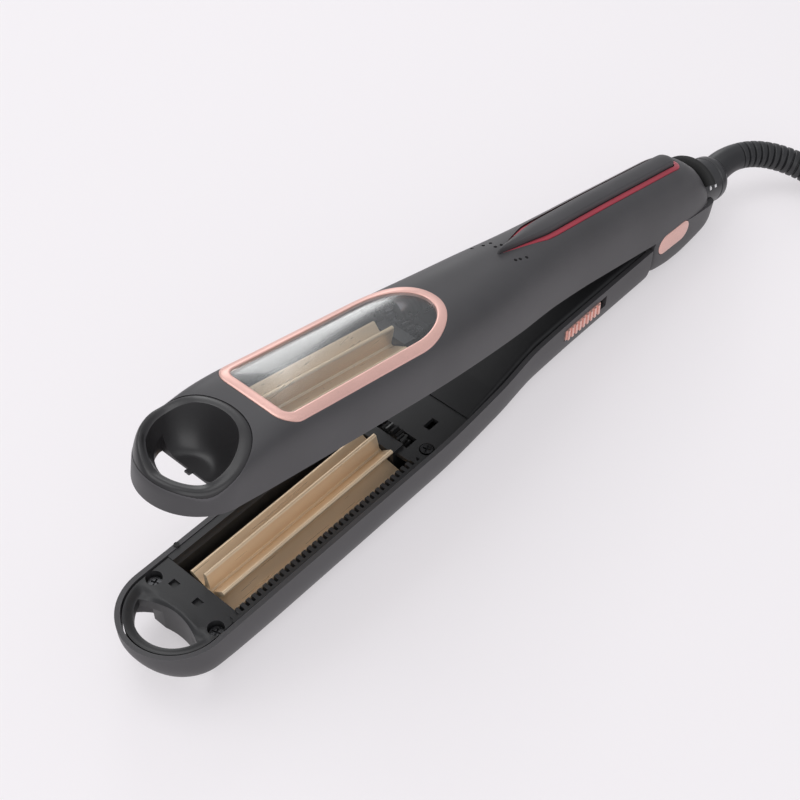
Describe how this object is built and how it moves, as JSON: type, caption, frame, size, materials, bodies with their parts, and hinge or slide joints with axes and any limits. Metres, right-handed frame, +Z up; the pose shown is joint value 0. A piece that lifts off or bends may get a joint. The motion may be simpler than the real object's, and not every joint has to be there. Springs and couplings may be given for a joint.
{
  "type": "hair crimper",
  "caption": "Motor-driven hair crimper: two sprung arms on a rear hinge, each with a heated lobed roller, a window in the upper arm, a comb on the lower arm, a slide lock and a swivel cord",
  "frame": {"origin": "on the table plane at the centre of the lower arm's flat underside, 130 mm in front of the hinge axis", "axes": "+X from the tip towards the cord, +Z up from the table, +Y across the arms; the hinge axis is parallel to +Y"},
  "size_m": [0.4042, 0.1839, 0.0979],
  "materials": {
    "casing": "fine matt moulded, faint satin sheen",
    "inner_frame": "black moulded, satin",
    "comb": "black moulded comb, satin",
    "dish": "smooth black, half gloss",
    "rose_trim": "rose gold metallic paint",
    "lens": "clear moulded lens",
    "panel": "fine matt moulded",
    "red_trim": "red metallic foil strip",
    "vent": "black moulded",
    "roller": "champagne gold ceramic coating, satin",
    "bronze": "sintered bronze",
    "gears": "cut brass",
    "heater": "steel sheathed heating rod",
    "motor": "plated can",
    "screw": "black oxide",
    "pin_steel": "drawn steel",
    "board": "green circuit board",
    "leads": "insulated wire",
    "switch": "black moulded",
    "bumper": "black rubber",
    "tail": "black moulded, satin",
    "cord_rubber": "black soft vinyl",
    "plug": "black vinyl, satin",
    "plug_pin": "nickel plated, satin"
  },
  "bodies": {
    "lower_arm": {"lower_shell": "casing", "nose_plate": "inner_frame", "side_rail": "inner_frame", "comb_rail": "comb", "bearing_plate": "inner_frame", "handle_cover": "inner_frame", "hinge_knuckle": "inner_frame", "stop_bumper": "bumper", "plate_screws": "screw", "lower_bushes": "bronze", "lower_heater": "heater", "lower_gearmotor": "motor", "switch_body": "switch", "opening_spring": "pin_steel"},
    "switch_slider": {"switch_knob": "rose_trim"},
    "lower_roller_body": {"lower_roller": "roller", "lower_roller_gear": "gears"},
    "lower_pinion_body": {"lower_pinion": "gears"},
    "upper_arm": {"upper_shell": "casing", "upper_base": "inner_frame", "hinge_housing": "casing", "tip_dish": "dish", "window_bezel": "rose_trim", "window_lens": "lens", "top_panel": "panel", "trim_strips": "red_trim", "vent_grille": "vent", "base_screws": "screw", "upper_frame": "inner_frame", "upper_bushes": "bronze", "upper_heater": "heater", "upper_gearmotor": "motor", "control_board": "board", "power_leads": "leads", "hinge_pin": "pin_steel", "hinge_caps": "rose_trim", "tail_collar": "tail"},
    "upper_roller_body": {"upper_roller": "roller", "upper_roller_gear": "gears"},
    "upper_pinion_body": {"upper_pinion": "gears"},
    "lock": {"lock_slider": "tail"},
    "cord": {"cord_swivel": "tail", "cord_guard": "cord_rubber", "power_cord": "cord_rubber", "plug_body": "plug", "plug_pins": "plug_pin"}
  },
  "joints": [
    {"name": "arm_hinge", "type": "hinge", "parent": "lower_arm", "child": "upper_arm", "pos_m": [0.13, 0, 0.0235], "axis": [0, 1, 0], "range_deg": [-12.3, 0], "stiffness_Nm_per_rad": 1.2, "springref_deg": 20.05, "deforming": ["opening_spring"]},
    {"name": "switch_slide", "type": "slide", "parent": "lower_arm", "child": "switch_slider", "axis": [1, 0, 0], "range_m": [0, 0.004]},
    {"name": "lower_roller_spin", "type": "hinge", "parent": "lower_arm", "child": "lower_roller_body", "pos_m": [0, 0, 0.0151], "axis": [1, 0, 0], "continuous": true},
    {"name": "lower_pinion_spin", "type": "hinge", "parent": "lower_arm", "child": "lower_pinion_body", "pos_m": [0, 0.00967, 0.00996], "axis": [1, 0, 0], "continuous": true},
    {"name": "upper_roller_spin", "type": "hinge", "parent": "upper_arm", "child": "upper_roller_body", "pos_m": [0.13179, 0, 0.03171], "axis": [0.977, 0, -0.213], "continuous": true},
    {"name": "upper_pinion_spin", "type": "hinge", "parent": "upper_arm", "child": "upper_pinion_body", "pos_m": [0.13289, 0.00967, 0.03673], "axis": [0.977, 0, -0.213], "continuous": true},
    {"name": "lock_slide", "type": "slide", "parent": "upper_arm", "child": "lock", "axis": [0.977, 0, -0.213], "range_m": [0, 0.004]},
    {"name": "cord_turn", "type": "hinge", "parent": "upper_arm", "child": "cord", "pos_m": [0.18557, 0, 0.01548], "axis": [0.977, 0, -0.213], "continuous": true}
  ],
  "couplings": [
    {"joint": "upper_roller_spin", "follows": "lower_roller_spin", "ratio": -1},
    {"joint": "lower_pinion_spin", "follows": "lower_roller_spin", "ratio": -2},
    {"joint": "upper_pinion_spin", "follows": "lower_roller_spin", "ratio": 2}
  ]
}
